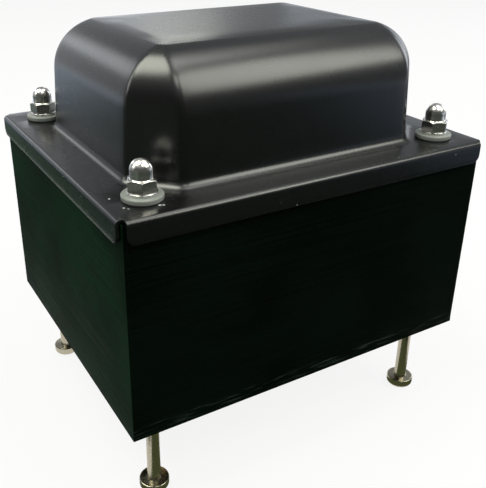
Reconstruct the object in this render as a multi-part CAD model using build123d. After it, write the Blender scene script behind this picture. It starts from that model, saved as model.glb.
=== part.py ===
from build123d import *
from math import cos, radians, sin, sqrt, tan
import os

os.makedirs("parts", exist_ok=True)

# Core of E and I sheets, cut without waste: every outline size follows the tongue
tongue = 44.4
limb = tongue / 2
window_length = tongue * 1.5
core_length = tongue * 3
core_width = tongue * 2.5
stack_height = 72.0
packet_count = 3
core_hole_diameter = 5.5

# Through bolts, pushed up from below
bolt_diameter = 5.0
shank_diameter = 4.48
thread_length = 22.0
thread_in_nut = 5.9
bolt_reach = 28.5
head_diameter = 10.0
head_height = 3.7
head_edge_chamfer = 1.1
recess_span = 4.6
recess_width = 1.2
recess_depth = 2.2
recess_taper = 8

# Washers and acorn nuts on the cover
nylon_diameter = 12.2
nylon_thickness = 1.6
steel_diameter = 8.8
steel_thickness = 0.8
washer_clearance = 0.15
nut_across_flats = 8.0
nut_hex_height = 3.8
nut_dome_diameter = 6.8
nut_height = 9.5
nut_bore_depth = 7.2
nut_cap_facets = 3
nut_turns = (6.3, 44.1, 37.7, 20.0)

# Deep-drawn cover
cover_wall = 1.2
cover_clearance = 0.3
skirt_height = 7.2
skirt_bend_radius = 1.5
skirt_corner_radius = 2.5
corner_relief = 2.4
cover_hole_diameter = 5.5
dome_height = 38.5
dome_bolt_setback = 0.2
dome_draft = 3.0
dome_end_radius = 18.0
dome_side_radius = 20.0
dome_washer_room = 0.25
dome_corner_top_radius = 17.0
dome_corner_blend = 3.5
dome_base_radius = 3.0

# Bobbin on the tongue
bobbin_wall = 1.5
bobbin_side_clearance = 0.8
bobbin_top_clearance = 0.3
bobbin_end_clearance = 0.3
bobbin_flange = 1.5
bobbin_flange_margin = 1.4
flange_corner_radius = 3.0
wire_corner_cut = 0.8
wedge_end_margin = 4.0

# Windings and wraps, from the bobbin outwards: the windings share the room that the wraps leave
primary_share = 0.34
high_voltage_share = 0.41
heater_share = 0.25
primary_wrap = 0.5
screen_foil = 0.3
screen_wrap = 0.5
high_voltage_wrap = 0.5
outer_wrap_build = 0.8
coil_window_clearance = 3.7
wrap_corner_softening = 1.3
screen_gap = 3.0

# Terminal boards and solder lugs under the coil
board_end_margin = 4.8
board_width = 13.0
board_thickness = 1.6
board_corner_cut = 1.5
board_edge_margin = 8.0
primary_lug_count = 5
secondary_lug_count = 8
lug_pitch = 8.0
lug_width = 3.4
lug_thickness = 0.6
lug_foot = 7.0
lug_drop = 5.6
lug_tip_chamfer = 0.7
lug_notch_width = 1.0
lug_notch_depth = 1.8
lug_tab_width = 2.0

# Levels and places worked out from the sizes above
core_bottom = head_height + bolt_reach
core_middle = core_bottom + stack_height / 2
core_top = core_bottom + stack_height
flange_top = core_top + cover_wall
steel_washer_bottom = flange_top + nylon_thickness
nut_bottom = steel_washer_bottom + steel_thickness
bolt_top = nut_bottom + thread_in_nut
hole_x = core_length / 2 - limb / 2
hole_y = core_width / 2 - limb / 2
bolt_places = [(-hole_x, -hole_y), (-hole_x, hole_y), (hole_x, -hole_y), (hole_x, hole_y)]
dome_inset = limb / 2 + cover_clearance + cover_wall + dome_bolt_setback
dome_corner_room = nylon_diameter / 2 + dome_washer_room + dome_base_radius
dome_corner_cut = dome_corner_room * sqrt(2) - 2 * dome_bolt_setback
winding_width = window_length - 2 * (bobbin_end_clearance + bobbin_flange)
tube_width = tongue + 2 * (bobbin_side_clearance + bobbin_wall)
tube_height = stack_height + 2 * (bobbin_top_clearance + bobbin_wall)


def save(shapes, node):
    """Write one node: a single solid or a group of separate solids."""
    body = Compound(children=list(shapes)) if isinstance(shapes, (list, tuple)) else shapes
    export_step(body, f"parts/{node}.step")


def ring(outer_diameter, inner_diameter, height, bottom):
    """Flat ring standing on the given level."""
    profile = Circle(outer_diameter / 2) - Circle(inner_diameter / 2)
    return Pos(0, 0, bottom) * extrude(profile, height)


def at_bolts(piece):
    """One copy of a piece at each bolt."""
    return [Pos(x, y, 0) * piece for x, y in bolt_places]


def corner_cut(build):
    """Leg of the cut corner once the given depth has been wound, so that each layer is even all round."""
    return wire_corner_cut + build * (2 - sqrt(2))


def wound_outline(build):
    """Outline of the coil once the given depth has been wound on the tube."""
    outline = Rectangle(tube_width + 2 * build, tube_height + 2 * build)
    return chamfer(outline.vertices(), corner_cut(build))


def wrapped_outline(build):
    """Outline of the finished coil, where the last wrap rounds the corners."""
    radius = wrap_corner_softening * corner_cut(build)
    return RectangleRounded(tube_width + 2 * build, tube_height + 2 * build, radius)


def wound_layer(inner_outline, outer_outline):
    """One winding or wrap, filling the bobbin between its flanges."""
    return extrude(coil_plane * (outer_outline - inner_outline), winding_width / 2, both=True)


def drawn_block(half_length, half_width, height, inset):
    """Solid of the dome or of its inside: crossed profiles, each with drafted walls and a rounded top."""
    reach = core_length
    slope = tan(radians(dome_draft))
    half_corner = (half_length + half_width - dome_corner_cut) / sqrt(2)
    blocks = []
    for turn, half_span, top_radius in (
        (0, half_length, dome_end_radius),
        (90, half_width, dome_side_radius),
        (45, half_corner, dome_corner_top_radius),
        (-45, half_corner, dome_corner_top_radius),
    ):
        foot = half_span - inset
        top = foot - height * slope
        outline = Polygon((-foot, 0), (foot, 0), (top, height), (-top, height), align=None)
        crown = outline.vertices().group_by(Axis.Y)[-1]
        profile = fillet(crown, top_radius - inset)
        blocks.append(Rot(0, 0, turn) * extrude(Plane.XZ * profile, reach, both=True))
    return blocks[0] & blocks[1] & blocks[2] & blocks[3]


# Core: packets laid alternately from opposite ends
coil_plane = Plane(origin=(0, 0, core_middle), x_dir=(1, 0, 0), z_dir=(0, -1, 0))
packet_height = stack_height / packet_count
e_outline = Pos(0, -limb / 2) * Rectangle(core_length, core_width - limb)
for side in (-1, 1):
    e_outline -= Pos(side * (tongue + limb) / 2, 0) * Rectangle(limb, window_length)
    e_outline -= Pos(side * hole_x, -hole_y) * Circle(core_hole_diameter / 2)
i_outline = Pos(0, hole_y) * Rectangle(core_length, limb)
for side in (-1, 1):
    i_outline -= Pos(side * hole_x, hole_y) * Circle(core_hole_diameter / 2)
e_packets = []
i_packets = []
for packet in range(packet_count):
    place = Pos(0, 0, core_bottom + packet * packet_height) * Rot(0, 0, 180 * (packet % 2))
    e_packets.append(place * extrude(e_outline, packet_height))
    i_packets.append(place * extrude(i_outline, packet_height))
save(e_packets, "e_laminations")
save(i_packets, "i_laminations")

# Bobbin: tube with a flange at each end
coil_build = limb - bobbin_side_clearance - bobbin_wall - coil_window_clearance
wraps_build = primary_wrap + screen_foil + screen_wrap + high_voltage_wrap + outer_wrap_build
wire_build = coil_build - wraps_build
builds = (
    ("primary_winding", primary_share * wire_build),
    ("primary_insulation", primary_wrap),
    ("electrostatic_screen", screen_foil),
    ("screen_insulation", screen_wrap),
    ("high_voltage_winding", high_voltage_share * wire_build),
    ("high_voltage_insulation", high_voltage_wrap),
    ("heater_winding", heater_share * wire_build),
    ("outer_wrap", outer_wrap_build),
)
flange_build = coil_build + bobbin_flange_margin
tube_inside = Rectangle(tube_width - 2 * bobbin_wall, tube_height - 2 * bobbin_wall)
flange_outline = RectangleRounded(
    tube_width + 2 * flange_build, tube_height + 2 * flange_build, flange_corner_radius
)
bobbin = extrude(coil_plane * (wound_outline(0) - tube_inside), winding_width / 2, both=True)
for side in (-1, 1):
    flange = extrude(coil_plane * (flange_outline - tube_inside), bobbin_flange / 2, both=True)
    bobbin += Pos(0, side * (winding_width + bobbin_flange) / 2, 0) * flange
save(bobbin, "bobbin")

# Fibre wedges that hold the bobbin tight on the tongue
wedges = []
wedge_length = window_length - 2 * wedge_end_margin
wedge_height = stack_height - 2 * wedge_end_margin
for side in (-1, 1):
    wedge_x = side * (tongue + bobbin_side_clearance) / 2
    wedge = Box(bobbin_side_clearance, wedge_length, wedge_height)
    wedges.append(Pos(wedge_x, 0, core_middle) * wedge)
save(wedges, "core_wedges")

# Windings and wraps, one over the other; the screen is left open so that it makes no shorted turn
build_so_far = 0.0
outline_so_far = wound_outline(0)
for name, thickness in builds:
    build_so_far += thickness
    outline = wrapped_outline(build_so_far) if name == "outer_wrap" else wound_outline(build_so_far)
    layer = wound_layer(outline_so_far, outline)
    if name == "electrostatic_screen":
        gap_level = core_middle + tube_height / 2 + build_so_far
        layer -= Pos(0, 0, gap_level) * Box(screen_gap, 2 * winding_width, 4 * build_so_far)
    save(layer, name)
    outline_so_far = outline

# Terminal boards against the underside of the coil
board_top = core_middle - tube_height / 2 - coil_build
board_bottom = board_top - board_thickness
board_length = tube_width + 2 * (coil_build - board_end_margin)
board_place = (winding_width - board_width) / 2 - board_edge_margin
tab_place = lug_foot / 4


def lug():
    """Solder lug: a foot under the board, a tab staked through it and a notched tongue bent down."""
    foot = Pos(0, 0, board_bottom - lug_thickness / 2) * Box(lug_width, lug_foot, lug_thickness)
    tab = Box(lug_tab_width, lug_thickness, board_thickness)
    tab = Pos(0, tab_place, board_bottom + board_thickness / 2) * tab
    outline = Rectangle(lug_width, lug_drop)
    outline = chamfer(outline.vertices().group_by(Axis.Y)[0], lug_tip_chamfer)
    outline -= Pos(0, (lug_notch_depth - lug_drop) / 2) * Rectangle(lug_notch_width, lug_notch_depth)
    tongue_face = lug_thickness - lug_foot / 2
    tongue = Pos(0, tongue_face, board_bottom - lug_drop / 2) * extrude(Plane.XZ * outline, lug_thickness)
    return foot + tab + tongue


for name, turn, count in (("primary", 0, primary_lug_count), ("secondary", 180, secondary_lug_count)):
    place = Rot(0, 0, turn) * Pos(0, -board_place, 0)
    board_outline = Rectangle(board_length, board_width)
    board_outline = chamfer(board_outline.vertices(), board_corner_cut)
    board = Pos(0, 0, board_bottom) * extrude(board_outline, board_thickness)
    lugs = []
    for number in range(count):
        lug_x = (number - (count - 1) / 2) * lug_pitch
        lugs.append(place * Pos(lug_x, 0, 0) * lug())
        slot = Box(lug_tab_width, lug_thickness, board_thickness)
        board -= Pos(lug_x, tab_place, board_bottom + board_thickness / 2) * slot
    save(place * board, f"{name}_board")
    save(lugs, f"{name}_lugs")

# Through bolts: pan heads with a cross recess at the bottom, a thinner shank and the thread on top
head = extrude(Circle(head_diameter / 2), head_height)
head = chamfer(head.edges().group_by(Axis.Z)[0], head_edge_chamfer)
for turn in (0, 90):
    slot = Rot(0, 0, turn) * Rectangle(recess_span, recess_width)
    head -= extrude(slot, recess_depth, taper=recess_taper)
shank_top = bolt_top - thread_length
shank = Pos(0, 0, head_height) * extrude(Circle(shank_diameter / 2), shank_top - head_height)
thread = Pos(0, 0, shank_top) * extrude(Circle(bolt_diameter / 2), thread_length)
save(at_bolts(head + shank + thread), "bolts")

# Washers and acorn nuts
washer_bore = bolt_diameter + 2 * washer_clearance
save(at_bolts(ring(nylon_diameter, washer_bore, nylon_thickness, flange_top)), "nylon_washers")
save(at_bolts(ring(steel_diameter, washer_bore, steel_thickness, steel_washer_bottom)), "steel_washers")

hexagon = RegularPolygon(nut_across_flats / 2, 6, major_radius=False)
cap_radius = nut_dome_diameter / 2
cap_centre = nut_height - cap_radius
cap_points = [(0, 0), (cap_radius, 0)]
for step in range(nut_cap_facets):
    angle = radians(90 * step / nut_cap_facets)
    cap_points.append((cap_radius * cos(angle), cap_centre + cap_radius * sin(angle)))
cap_points.append((0, nut_height))
nut_cap = revolve(Plane.XZ * Polygon(*cap_points, align=None), Axis.Z)
nut = extrude(hexagon, nut_hex_height) + nut_cap
nut -= extrude(Circle(bolt_diameter / 2), nut_bore_depth)
nuts = []
for (x, y), nut_turn in zip(bolt_places, nut_turns):
    nuts.append(Pos(x, y, nut_bottom) * Rot(0, 0, nut_turn) * nut)
save(nuts, "acorn_nuts")

# Cover: flat tray with four skirts, open at the corners
cover_length = core_length + 2 * (cover_clearance + cover_wall)
cover_width = core_width + 2 * (cover_clearance + cover_wall)
skirt_bottom = flange_top - skirt_height
tray_outline = Rectangle(cover_length, cover_width)
tray = Pos(0, 0, skirt_bottom) * extrude(tray_outline, skirt_height)
tray = fillet(tray.edges().group_by(Axis.Z)[-1], skirt_bend_radius)
hollow_outline = Rectangle(cover_length - 2 * cover_wall, cover_width - 2 * cover_wall)
hollow = Pos(0, 0, skirt_bottom) * extrude(hollow_outline, skirt_height - cover_wall)

# Cover: dome drawn up out of the flange, blended into it inside and outside
half_length = cover_length / 2 - dome_inset
half_width = cover_width / 2 - dome_inset
outer_dome = drawn_block(half_length, half_width, dome_height, 0)
upright = [edge for edge in outer_dome.edges() if abs((edge @ 1).Z - (edge @ 0).Z) > dome_height / 4]
upright = [edge for edge in upright if edge.geom_type == GeomType.LINE]
outer_dome = Pos(0, 0, flange_top) * fillet(upright, dome_corner_blend)
inner_dome = Pos(0, 0, core_top) * drawn_block(half_length, half_width, dome_height, cover_wall)


def blended(base, dome, level, radius):
    """Join a dome to its base and blend the line where they meet."""
    joined = base + dome
    low, high = level - cover_wall / 100, level + cover_wall / 100
    foot = [edge for edge in joined.edges() if edge.bounding_box().min.Z > low]
    foot = [edge for edge in foot if edge.bounding_box().max.Z < high]
    foot = [edge for edge in foot if abs(edge.center().X) <= half_length]
    foot = [edge for edge in foot if abs(edge.center().Y) <= half_width]
    return fillet(foot, radius)


outside = blended(tray, outer_dome, flange_top, dome_base_radius)
inside = blended(hollow, inner_dome, core_top, dome_base_radius + cover_wall)
cover = outside - inside

# Cover: corner reliefs, rounded skirt ends and bolt holes
for x_side in (-1, 1):
    for y_side in (-1, 1):
        relief = Box(2 * corner_relief, 2 * corner_relief, 4 * skirt_height)
        cover -= Pos(x_side * cover_length / 2, y_side * cover_width / 2, flange_top) * relief
skirt_ends = [edge for edge in cover.edges().group_by(Axis.Z)[0] if edge.length < 1.01 * cover_wall]
cover = fillet(skirt_ends, skirt_corner_radius)
for x, y in bolt_places:
    cover -= Pos(x, y, core_top) * extrude(Circle(cover_hole_diameter / 2), cover_wall)
save(cover, "top_cover")
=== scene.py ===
import math
import random

import bmesh
import bpy
from mathutils import Matrix, Vector
from mathutils.geometry import delaunay_2d_cdt


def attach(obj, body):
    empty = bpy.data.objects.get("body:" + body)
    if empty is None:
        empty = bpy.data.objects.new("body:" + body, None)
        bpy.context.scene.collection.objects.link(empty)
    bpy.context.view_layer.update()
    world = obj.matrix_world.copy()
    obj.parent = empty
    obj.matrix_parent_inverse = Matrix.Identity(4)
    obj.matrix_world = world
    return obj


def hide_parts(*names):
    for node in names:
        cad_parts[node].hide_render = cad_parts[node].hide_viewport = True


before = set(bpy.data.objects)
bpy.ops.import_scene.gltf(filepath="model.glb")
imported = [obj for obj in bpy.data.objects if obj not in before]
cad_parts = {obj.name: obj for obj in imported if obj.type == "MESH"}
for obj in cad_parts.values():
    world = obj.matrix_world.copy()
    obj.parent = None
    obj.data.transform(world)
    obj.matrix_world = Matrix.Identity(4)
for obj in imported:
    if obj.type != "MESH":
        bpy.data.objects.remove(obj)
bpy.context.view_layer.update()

# Metres in a millimetre
MM = 0.001

# Sizes of the CAD model that the pieces follow, in millimetres
CORE_LENGTH = 133.2
CORE_WIDTH = 111.0
LIMB = 22.2
TONGUE = 44.4
CORE_BOTTOM = 32.2
CORE_TOP = 104.2
HOLE_X = 55.5
HOLE_Y = 44.4
HOLE_RADIUS = 2.75
BOLT_PLACES = [(-HOLE_X, -HOLE_Y), (-HOLE_X, HOLE_Y), (HOLE_X, -HOLE_Y), (HOLE_X, HOLE_Y)]


def new_object(name, data):
    """Object in the scene."""
    item = bpy.data.objects.new(name, data)
    bpy.context.scene.collection.objects.link(item)
    return item


def new_piece(name, mesh, node, material, smooth_angle=35.0):
    """Object that rides on the body and stands for a CAD node."""
    mesh.materials.clear()
    mesh.materials.append(material)
    item = new_object(name, mesh)
    mesh.shade_smooth()
    mesh.set_sharp_from_angle(angle=math.radians(smooth_angle))
    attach(item, "root")
    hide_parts(node)
    return item


def add_modifier(item, kind, **values):
    """Modifier with its settings."""
    modifier = item.modifiers.new(kind.lower(), kind)
    for name, value in values.items():
        setattr(modifier, name, value)


def bake_modifiers(item):
    """Replace the mesh by the one that its modifiers make."""
    graph = bpy.context.evaluated_depsgraph_get()
    made = bpy.data.meshes.new_from_object(item.evaluated_get(graph))
    item.modifiers.clear()
    item.data = made


def soften(item, width, angle):
    """Break the edges of a piece that are sharper than an angle."""
    limit = math.radians(angle)
    add_modifier(item, "BEVEL", width=width * MM, segments=2, limit_method="ANGLE", angle_limit=limit)
    bake_modifiers(item)


def merge_points(mesh, distance):
    """Join the points of a mesh that are nearer to each other than a distance in millimetres."""
    merged = bmesh.new()
    merged.from_mesh(mesh)
    bmesh.ops.remove_doubles(merged, verts=merged.verts, dist=distance * MM)
    merged.to_mesh(mesh)
    merged.free()


def face_outwards(mesh):
    """Turn all faces of a mesh outwards."""
    turned = bmesh.new()
    turned.from_mesh(mesh)
    bmesh.ops.recalc_face_normals(turned, faces=turned.faces)
    turned.to_mesh(mesh)
    turned.free()


def new_mesh(name, points, faces):
    """Mesh from points in millimetres."""
    mesh = bpy.data.meshes.new(name)
    mesh.from_pydata([(x * MM, y * MM, z * MM) for x, y, z in points], [], faces)
    return mesh


def band(first, second, count):
    """Quads between two closed rings of as many points, each ring given by the number of its first point."""
    faces = []
    for step in range(count):
        after = (step + 1) % count
        faces.append((first + step, first + after, second + after, second + step))
    return faces


def rings_mesh(name, rings, closed=False):
    """Mesh of quads between closed rings of as many points each, if closed with a face on each end."""
    count = len(rings[0])
    last = (len(rings) - 1) * count
    faces = []
    for first in range(0, last, count):
        faces += band(first, first + count, count)
    if closed:
        faces.append(tuple(reversed(range(count))))
        faces.append(tuple(range(last, last + count)))
    return new_mesh(name, [point for ring in rings for point in ring], faces)


QUARTER = math.pi / 2
EIGHTH = math.pi / 4


def arc(centre, radius, start, turn, steps):
    """Points of an arc round a centre, both ends included, from a starting direction and through a turn."""
    angles = [start + turn * step / steps for step in range(steps + 1)]
    return [(centre[0] + radius * math.cos(angle), centre[1] + radius * math.sin(angle)) for angle in angles]


def circle(x, y, radius, steps):
    return arc((x, y), radius, 0.0, 2 * math.pi, steps)[:-1]


def inside(point, loop):
    """Whether a point lies in a closed loop of points."""
    found = False
    for step in range(len(loop)):
        (ax, ay), (bx, by) = loop[step], loop[step - 1]
        if (ay > point.y) != (by > point.y) and point.x < (bx - ax) * (point.y - ay) / (by - ay) + ax:
            found = not found
    return found


# Two points nearer than this, in millimetres, are one when a flat region is filled
SAME_POINT = 0.0001


def flat_region(outline, holes, level):
    """Points, in millimetres, and triangles that fill an outline and leave its holes open."""
    points = []
    edges = []
    for loop in [outline] + holes:
        first = len(points)
        points.extend(Vector(point) for point in loop)
        edges.extend((first + step, first + (step + 1) % len(loop)) for step in range(len(loop)))
    made = delaunay_2d_cdt(points, edges, [], 1, SAME_POINT)
    places, triangles = made[0], made[2]
    kept = []
    for triangle in triangles:
        middle = sum((places[corner] for corner in triangle), Vector((0.0, 0.0))) / len(triangle)
        if inside(middle, outline) and not any(inside(middle, hole) for hole in holes):
            kept.append(tuple(triangle))
    return [(place.x, place.y, level) for place in places], kept


# Cover: sizes in millimetres, as in the CAD model
COVER_HALF_LENGTH = 68.1
COVER_HALF_WIDTH = 57.0
COVER_WALL = 1.2
COVER_EDGE = 0.15
COVER_EDGE_ANGLE = 50.0
COVER_MERGE = 0.002
FLANGE_TOP = 105.4
SKIRT_HEIGHT = 7.2
BEND_RADIUS = 1.5
SKIRT_CORNER_RADIUS = 2.5
RELIEF = 2.4
DOME_HEIGHT = 38.5
DOME_HALF_LENGTH = 55.3
DOME_HALF_WIDTH = 44.2
DOME_CORNER_CUT = 12.82
DOME_SLOPE_ANGLE = math.radians(3.0)
DOME_SLOPE = math.tan(DOME_SLOPE_ANGLE)
DOME_END_RADIUS = 18.0
DOME_SIDE_RADIUS = 20.0
DOME_CORNER_TOP_RADIUS = 17.0
DOME_BASE_RADIUS = 3.0
# Rounding where a cut corner meets an end or a side. The two together are at most BLEND_ROOM times the cut's
# leg, which counts as BLEND_LEAST at least, so that they get smaller where the crown narrows the cut.
DOME_END_BLEND = 2.6
DOME_SIDE_BLEND = 4.4
BLEND_LEAST = 0.9
BLEND_ROOM = 2.6
# The top panel starts at a crease below the dome's full height. It is sharp at the corners and softer in the
# middle of each side and end: it grows between two distances from the middle. The panel's rings, closer
# together near the crease, reach a little further in than its slope does.
CREASE_HEIGHT = 37.85
CREASE_SIDE = (2.0, 30.0)
CREASE_SIDE_LEAST = 0.35
CREASE_END = (10.0, 21.0)
CREASE_CHANGE = 3.0
PANEL_REACH = 12.0
PANEL_SPAN = 1.2 * PANEL_REACH
PANEL_CROWDING = 1.3
# Steps of the mesh
PANEL_STEPS = 26
CORNER_STEPS = 6
CROWN_STEPS = 40
WALL_STEPS = 10
BASE_STEPS = 8
SIDE_STEPS = 12
END_STEPS = 9
SKIRT_CORNER_STEPS = 6
SKIRT_STEPS = 12
BEND_STEPS = 6
SKIRT_ROWS = 3
HOLE_STEPS = 24


def crown_span(foot, radius, height):
    """Half width of a profile with a drafted wall and a rounded top at a height above the flange."""
    centre_height = DOME_HEIGHT - radius
    centre = foot - centre_height * DOME_SLOPE - radius / math.cos(DOME_SLOPE_ANGLE)
    tangent_height = centre_height + radius * math.sin(DOME_SLOPE_ANGLE)
    if height <= tangent_height:
        return foot - height * DOME_SLOPE
    rise = min(height - centre_height, radius)
    return centre + math.sqrt(max(radius * radius - rise * rise, 0.0))


def rounded_octagon(half_x, half_y, half_diagonal, end_radius, side_radius, height):
    """Closed ring of points: a rectangle with cut corners, each cut rounded into the end and the side."""
    y_corner = min(max(half_diagonal * math.sqrt(2) - half_x, 0.0), half_y)
    x_corner = min(max(half_diagonal * math.sqrt(2) - half_y, 0.0), half_x)
    tangent = math.tan(EIGHTH / 2)
    end_room, side_room = end_radius * tangent, side_radius * tangent
    diagonal = math.sqrt(0.5)
    # Ends of the cut's straight run, between its two rounded corners
    first = (half_x - end_room * diagonal, y_corner + end_room * diagonal)
    last = (x_corner + side_room * diagonal, half_y - side_room * diagonal)
    end_centre = (half_x - end_radius, y_corner - end_room)
    side_centre = (x_corner - side_room, half_y - side_radius)
    quarter = [(half_x, end_centre[1] * step / END_STEPS) for step in range(END_STEPS)]
    quarter += arc(end_centre, end_radius, 0.0, EIGHTH, CORNER_STEPS)
    for share in [step / CORNER_STEPS for step in range(1, CORNER_STEPS)]:
        quarter.append((first[0] + (last[0] - first[0]) * share, first[1] + (last[1] - first[1]) * share))
    quarter += arc(side_centre, side_radius, EIGHTH, EIGHTH, CORNER_STEPS)
    quarter += [(side_centre[0] * (1 - step / SIDE_STEPS), half_y) for step in range(1, SIDE_STEPS + 1)]
    # The quarter runs from (x, 0) to (0, y), and the other three mirror it
    half = quarter + [(-x, y) for x, y in reversed(quarter[:-1])]
    return [(x, y, height) for x, y in half + [(x, -y) for x, y in reversed(half[1:-1])]]


def ease(value, start, end):
    """0 before a start, 1 after an end, and smooth between them."""
    share = min(max((value - start) / (end - start), 0.0), 1.0)
    return share * share * (3.0 - 2.0 * share)


def panel_drop(x, y, depth, half_x, half_y):
    """How far a place of the top panel, a depth inside its crease, lies below the dome's full height."""
    full = DOME_HEIGHT - CREASE_HEIGHT
    gentle = full * max(1.0 - depth / PANEL_REACH, 0.0) ** 2
    run = math.sqrt(DOME_SIDE_RADIUS**2 - (DOME_SIDE_RADIUS - full) ** 2)
    left = max(run - depth, 0.0)
    round_over = DOME_SIDE_RADIUS - math.sqrt(DOME_SIDE_RADIUS**2 - left * left)
    side = CREASE_SIDE_LEAST + (1.0 - CREASE_SIDE_LEAST) * ease(abs(x), *CREASE_SIDE)
    end = ease(abs(y), *CREASE_END)
    # The nearer edge rules: the share goes over from one to the other where both are as near
    near_end = ease((half_y - abs(y)) - (half_x - abs(x)), -CREASE_CHANGE, CREASE_CHANGE)
    crease = side + (end - side) * near_end
    return crease * gentle + (1.0 - crease) * round_over


def panel_rings(ring, half_x, half_y):
    """Rings of the top panel, from its middle out to its crease, which is the given ring."""
    rings = []
    for step in range(1, PANEL_STEPS + 1):
        depth = PANEL_SPAN * (step / PANEL_STEPS) ** PANEL_CROWDING
        share_x, share_y = 1.0 - depth / half_x, 1.0 - depth / half_y
        row = []
        for x, y, z in ring:
            place_x, place_y = x * share_x, y * share_y
            drop = panel_drop(place_x, place_y, depth, half_x - depth, half_y - depth)
            row.append((place_x, place_y, FLANGE_TOP + DOME_HEIGHT - drop))
        rings.append(row)
    return list(reversed(rings))


def dome_spans(height):
    """Half length and half width of the dome at a height above the flange."""
    half_x = crown_span(DOME_HALF_LENGTH, DOME_END_RADIUS, height)
    half_y = crown_span(DOME_HALF_WIDTH, DOME_SIDE_RADIUS, height)
    return half_x, half_y


def dome_heights():
    """Heights of the rings between the crease and the dome's foot, closer together in the crown."""
    heights = []
    crease_turn = math.acos(1 - (DOME_HEIGHT - CREASE_HEIGHT) / DOME_SIDE_RADIUS)
    for step in range(CROWN_STEPS + 1):
        turn = crease_turn + (QUARTER - crease_turn) * step / CROWN_STEPS
        heights.append(DOME_HEIGHT - DOME_SIDE_RADIUS * (1 - math.cos(turn)))
    start = heights[-1]
    lowest = DOME_BASE_RADIUS * (1 + DOME_SLOPE)
    for step in range(1, WALL_STEPS + 1):
        heights.append(start + (lowest - start) * step / WALL_STEPS)
    return heights


def dome_rings():
    """Rings of the dome's outside, from its top down to the flange."""
    foot_diagonal = (DOME_HALF_LENGTH + DOME_HALF_WIDTH - DOME_CORNER_CUT) / math.sqrt(2)
    rings = []
    for height in dome_heights():
        half_x, half_y = dome_spans(height)
        half_diagonal = crown_span(foot_diagonal, DOME_CORNER_TOP_RADIUS, height)
        cut = max(half_x + half_y - half_diagonal * math.sqrt(2), BLEND_LEAST)
        narrowed = min(BLEND_ROOM * cut / (DOME_END_BLEND + DOME_SIDE_BLEND), 1.0)
        end_blend, side_blend = DOME_END_BLEND * narrowed, DOME_SIDE_BLEND * narrowed
        level = FLANGE_TOP + height
        rings.append(rounded_octagon(half_x, half_y, half_diagonal, end_blend, side_blend, level))
    rings = panel_rings(rings[0], *dome_spans(CREASE_HEIGHT)) + rings
    # Fillet into the flange: its centre line lies outside the wall
    reach = DOME_BASE_RADIUS / math.cos(DOME_SLOPE_ANGLE) - DOME_BASE_RADIUS * DOME_SLOPE
    foot = (DOME_HALF_LENGTH, DOME_HALF_WIDTH, foot_diagonal, DOME_END_BLEND, DOME_SIDE_BLEND)
    for step in range(1, BASE_STEPS + 1):
        turn = (QUARTER - DOME_SLOPE_ANGLE) * step / BASE_STEPS + DOME_SLOPE_ANGLE
        spread = reach - DOME_BASE_RADIUS * math.cos(turn)
        level = FLANGE_TOP + DOME_BASE_RADIUS * (1 - math.sin(turn))
        rings.append(rounded_octagon(*(size + spread for size in foot), level))
    return rings


def skirt_places(half_span):
    """Places along a skirt: close together where its lower corners are rounded."""
    straight = half_span - SKIRT_CORNER_RADIUS
    places = [-half_span]
    for step in range(1, SKIRT_CORNER_STEPS + 1):
        turn = QUARTER * step / SKIRT_CORNER_STEPS
        places.append(-straight - SKIRT_CORNER_RADIUS * math.cos(turn))
    for step in range(1, SKIRT_STEPS):
        places.append(straight * (2 * step / SKIRT_STEPS - 1))
    return places + [-place for place in reversed(places[: SKIRT_CORNER_STEPS + 1])]


def skirt_rows(half_span, out):
    """Rows of one skirt's points: (place along the side, distance from the middle, level)."""
    straight = half_span - SKIRT_CORNER_RADIUS
    bottom = FLANGE_TOP - SKIRT_HEIGHT
    bend_bottom = FLANGE_TOP - BEND_RADIUS
    places = skirt_places(half_span)
    rows = []
    for distance, level in arc((out - BEND_RADIUS, bend_bottom), BEND_RADIUS, QUARTER, -QUARTER, BEND_STEPS):
        rows.append([(place, distance, level) for place in places])
    for step in range(1, SKIRT_ROWS + 1):
        row = []
        for place in places:
            past = max(abs(place) - straight, 0.0)
            lift = SKIRT_CORNER_RADIUS - math.sqrt(max(SKIRT_CORNER_RADIUS**2 - past**2, 0.0))
            row.append((place, out, bend_bottom + (bottom + lift - bend_bottom) * step / SKIRT_ROWS))
        rows.append(row)
    return rows


def skirt(half_span, out, turn):
    """Points and faces of the skirt on one side of the cover, turned round the middle to its side."""
    rows = skirt_rows(half_span, out)
    points = []
    for place, distance, level in [point for row in rows for point in row]:
        x = distance * math.cos(turn) - place * math.sin(turn)
        y = distance * math.sin(turn) + place * math.cos(turn)
        points.append((x, y, level))
    span = len(rows[0])
    faces = []
    for first in range(0, (len(rows) - 1) * span, span):
        for low in range(first, first + span - 1):
            faces.append((low, low + span, low + span + 1, low + 1))
    return points, faces


def flange(dome_foot, x_end, y_end):
    """Points and faces of the flange, from the dome's foot to the skirts' bends, with its four bolt holes."""
    along_x, along_y = skirt_places(x_end), skirt_places(y_end)
    x_flat, y_flat = COVER_HALF_LENGTH - BEND_RADIUS, COVER_HALF_WIDTH - BEND_RADIUS
    outline = [(x, -y_flat) for x in along_x] + [(x_end, -y_end)]
    outline += [(x_flat, y) for y in along_y] + [(x_end, y_end)]
    outline += [(x, y_flat) for x in reversed(along_x)] + [(-x_end, y_end)]
    outline += [(-x_flat, y) for y in reversed(along_y)] + [(-x_end, -y_end)]
    holes = [[(x, y) for x, y, z in dome_foot]]
    holes += [circle(x, y, HOLE_RADIUS, HOLE_STEPS) for x, y in BOLT_PLACES]
    return flat_region(outline, holes, FLANGE_TOP)


def dome(rings):
    """Points and faces of the dome that its rings make."""
    count = len(rings[0])
    faces = [tuple(range(count))]
    for first in range(0, (len(rings) - 1) * count, count):
        faces += band(first + count, first, count)
    return [point for ring in rings for point in ring], faces


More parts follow.
